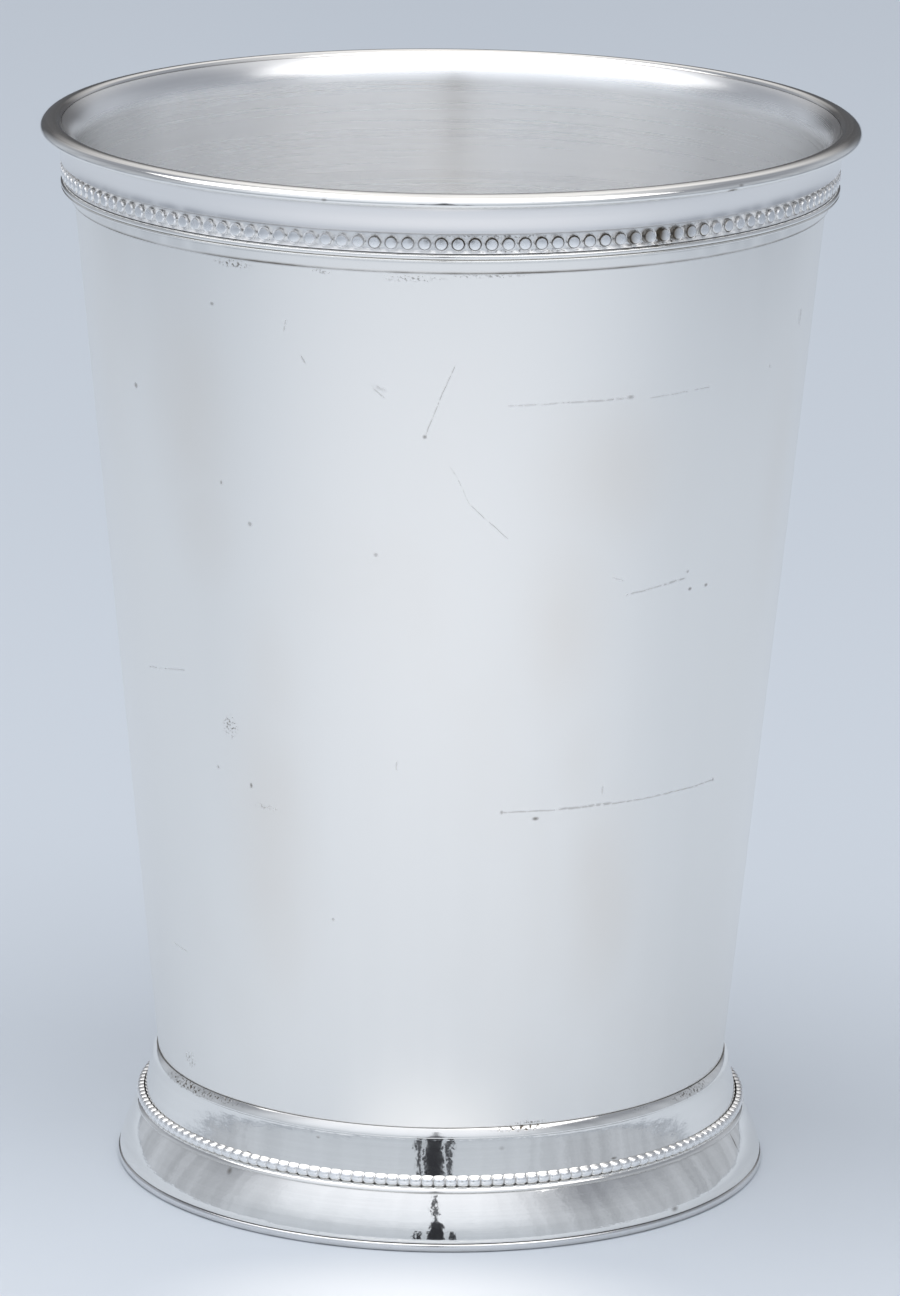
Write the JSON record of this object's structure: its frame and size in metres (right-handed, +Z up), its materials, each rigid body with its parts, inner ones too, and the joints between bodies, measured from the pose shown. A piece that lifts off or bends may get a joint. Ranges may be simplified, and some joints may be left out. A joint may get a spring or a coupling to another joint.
{
  "type": "julep cup",
  "caption": "Footed metal tumbler with a tapered wall, rounded lip, beaded border under the lip and a stepped, beaded ring foot, open at the top.",
  "frame": {"origin": "centre of the foot's resting plane", "axes": "+Z up along the cup's axis, from the foot to the lip; X and Y lie in the resting plane"},
  "size_m": [0.079, 0.079, 0.104],
  "materials": {
    "satin_silver": "soft satin silver plate with fine wear",
    "polished_silver": "mirror-polished silver plate",
    "frosted_silver": "silver plate, dull and warm in the crevices",
    "solder": "dull grey solder"
  },
  "bodies": {
    "root": {"tumbler_wall": "satin_silver", "floor_disc": "satin_silver", "floor_solder_fillet": "solder", "lip_wire": "polished_silver", "rim_cove_band": "polished_silver", "rim_bead_wire": "frosted_silver", "rim_moulding_wire": "polished_silver", "rim_edge_band": "polished_silver", "foot_top_wire": "polished_silver", "foot_collar": "polished_silver", "foot_solder_fillet": "solder", "foot_bead_wire": "frosted_silver", "foot_reed_wire": "polished_silver", "foot_skirt": "polished_silver", "foot_base_wire": "polished_silver"}
  },
  "joints": []
}
